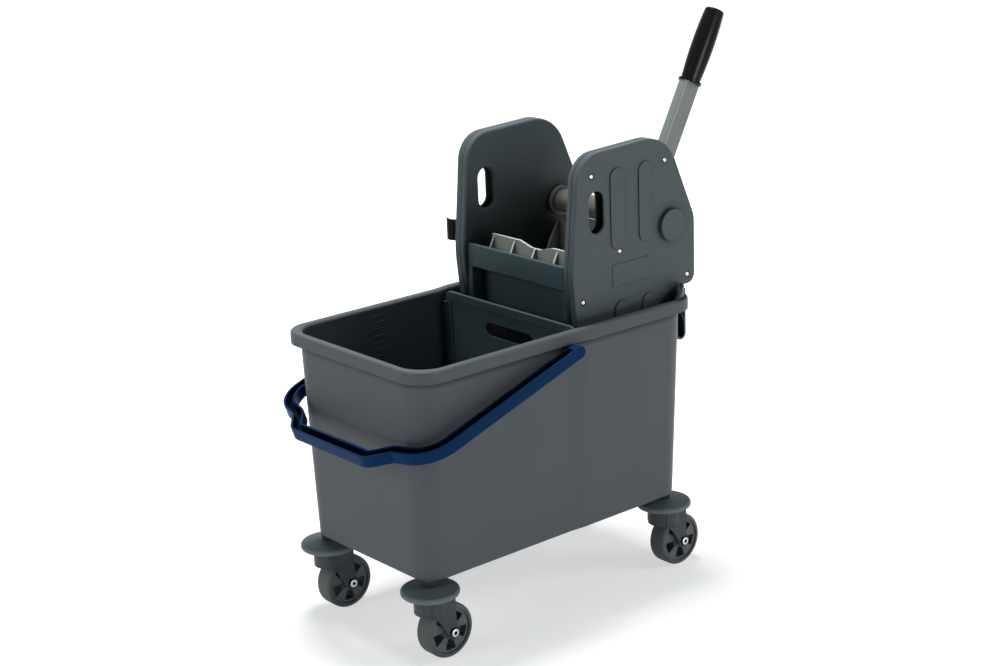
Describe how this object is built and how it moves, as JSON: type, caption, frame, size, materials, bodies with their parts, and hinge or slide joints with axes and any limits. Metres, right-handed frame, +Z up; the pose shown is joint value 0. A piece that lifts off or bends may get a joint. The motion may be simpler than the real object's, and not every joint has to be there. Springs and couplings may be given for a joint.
{
  "type": "cleaning trolley",
  "caption": "Mop bucket trolley with divider, carrying handle, swivel castors with bumper discs and a geared lever wringer.",
  "frame": {"origin": "on the floor under the middle of the bucket", "axes": "+X to the lever side, +Y to the wringer end, +Z up"},
  "size_m": [0.333, 0.6646, 0.7787],
  "materials": {
    "grey_plastic": "fine grain",
    "blue_plastic": "satin",
    "light_plastic": "fine grain",
    "dark_plastic": "satin",
    "disc_rubber": "matt",
    "tyre_rubber": "matt",
    "zinc_steel": "zinc plated",
    "black_steel": "black coated",
    "gear_steel": "machined",
    "bush_plastic": "smooth",
    "lever_paint": "powder coat",
    "black_plastic": "gloss"
  },
  "bodies": {
    "tub_body": {"tub": "grey_plastic", "castor_stems": "black_steel"},
    "divider_body": {"divider": "grey_plastic"},
    "bail_body": {"bail_handle": "blue_plastic"},
    "wringer_body": {"left_cheek": "grey_plastic", "right_cheek": "grey_plastic", "left_cover": "grey_plastic", "right_cover": "grey_plastic", "left_cover_screws": "zinc_steel", "right_cover_screws": "zinc_steel", "front_frame": "grey_plastic", "rear_bar": "grey_plastic", "front_press_plate": "light_plastic", "left_shaft_bush": "bush_plastic", "right_shaft_bush": "bush_plastic", "return_spring": "gear_steel", "clip_bracket": "grey_plastic", "handle_clip": "black_plastic"},
    "lever_body": {"press_shaft": "gear_steel", "press_drum": "light_plastic", "left_lever_gear": "gear_steel", "right_lever_gear": "gear_steel", "lever_tube": "lever_paint", "lever_grip": "black_plastic", "lever_bolt": "zinc_steel"},
    "jaw_body": {"rear_press_jaw": "light_plastic", "jaw_shaft": "gear_steel", "left_jaw_gear": "gear_steel", "right_jaw_gear": "gear_steel"},
    "disc_front_left": {"bumper_disc_front_left": "disc_rubber"},
    "fork_body_front_left": {"fork_front_left": "dark_plastic", "axle_bolt_front_left": "zinc_steel"},
    "wheel_body_front_left": {"wheel_front_left": "dark_plastic", "tyre_front_left": "tyre_rubber"},
    "disc_front_right": {"bumper_disc_front_right": "disc_rubber"},
    "fork_body_front_right": {"fork_front_right": "dark_plastic", "axle_bolt_front_right": "zinc_steel"},
    "wheel_body_front_right": {"wheel_front_right": "dark_plastic", "tyre_front_right": "tyre_rubber"},
    "disc_rear_left": {"bumper_disc_rear_left": "disc_rubber"},
    "fork_body_rear_left": {"fork_rear_left": "dark_plastic", "axle_bolt_rear_left": "zinc_steel"},
    "wheel_body_rear_left": {"wheel_rear_left": "dark_plastic", "tyre_rear_left": "tyre_rubber"},
    "disc_rear_right": {"bumper_disc_rear_right": "disc_rubber"},
    "fork_body_rear_right": {"fork_rear_right": "dark_plastic", "axle_bolt_rear_right": "zinc_steel"},
    "wheel_body_rear_right": {"wheel_rear_right": "dark_plastic", "tyre_rear_right": "tyre_rubber"}
  },
  "joints": [
    {"name": "divider_lift", "type": "slide", "parent": "tub_body", "child": "divider_body", "axis": [0, 0, 1], "range_m": [0, 0.3]},
    {"name": "wringer_lift", "type": "slide", "parent": "tub_body", "child": "wringer_body", "axis": [0, 0, 1], "range_m": [0, 0.12]},
    {"name": "bail_swing", "type": "hinge", "parent": "tub_body", "child": "bail_body", "pos_m": [0, 0.01, 0.38], "axis": [-1, 0, 0], "range_deg": [-3, 106]},
    {"name": "press_lever", "type": "hinge", "parent": "wringer_body", "child": "lever_body", "pos_m": [0, 0.221, 0.504], "axis": [-1, 0, 0], "range_deg": [0, 76], "stiffness_Nm_per_rad": 1.5, "springref_deg": -45.84},
    {"name": "jaw_close", "type": "hinge", "parent": "wringer_body", "child": "jaw_body", "pos_m": [0, 0.16, 0.38245], "axis": [-1, 0, 0], "range_deg": [-29.5, 0]},
    {"name": "bumper_turn_front_left", "type": "hinge", "parent": "tub_body", "child": "disc_front_left", "pos_m": [-0.1103, -0.2128, 0.0985], "axis": [0, 0, 1], "continuous": true},
    {"name": "castor_swivel_front_left", "type": "hinge", "parent": "tub_body", "child": "fork_body_front_left", "pos_m": [-0.1103, -0.2128, 0.085], "axis": [0, 0, 1], "continuous": true},
    {"name": "wheel_roll_front_left", "type": "hinge", "parent": "fork_body_front_left", "child": "wheel_body_front_left", "pos_m": [-0.1103, -0.1918, 0.0375], "axis": [1, 0, 0], "continuous": true},
    {"name": "bumper_turn_front_right", "type": "hinge", "parent": "tub_body", "child": "disc_front_right", "pos_m": [0.1103, -0.2128, 0.0985], "axis": [0, 0, 1], "continuous": true},
    {"name": "castor_swivel_front_right", "type": "hinge", "parent": "tub_body", "child": "fork_body_front_right", "pos_m": [0.1103, -0.2128, 0.085], "axis": [0, 0, 1], "continuous": true},
    {"name": "wheel_roll_front_right", "type": "hinge", "parent": "fork_body_front_right", "child": "wheel_body_front_right", "pos_m": [0.1103, -0.1918, 0.0375], "axis": [1, 0, 0], "continuous": true},
    {"name": "bumper_turn_rear_left", "type": "hinge", "parent": "tub_body", "child": "disc_rear_left", "pos_m": [-0.1103, 0.2128, 0.0985], "axis": [0, 0, 1], "continuous": true},
    {"name": "castor_swivel_rear_left", "type": "hinge", "parent": "tub_body", "child": "fork_body_rear_left", "pos_m": [-0.1103, 0.2128, 0.085], "axis": [0, 0, 1], "continuous": true},
    {"name": "wheel_roll_rear_left", "type": "hinge", "parent": "fork_body_rear_left", "child": "wheel_body_rear_left", "pos_m": [-0.1103, 0.2338, 0.0375], "axis": [1, 0, 0], "continuous": true},
    {"name": "bumper_turn_rear_right", "type": "hinge", "parent": "tub_body", "child": "disc_rear_right", "pos_m": [0.1103, 0.2128, 0.0985], "axis": [0, 0, 1], "continuous": true},
    {"name": "castor_swivel_rear_right", "type": "hinge", "parent": "tub_body", "child": "fork_body_rear_right", "pos_m": [0.1103, 0.2128, 0.085], "axis": [0, 0, 1], "continuous": true},
    {"name": "wheel_roll_rear_right", "type": "hinge", "parent": "fork_body_rear_right", "child": "wheel_body_rear_right", "pos_m": [0.1103, 0.2338, 0.0375], "axis": [1, 0, 0], "continuous": true}
  ],
  "couplings": [
    {"joint": "jaw_close", "follows": "press_lever", "ratio": -0.38776}
  ]
}
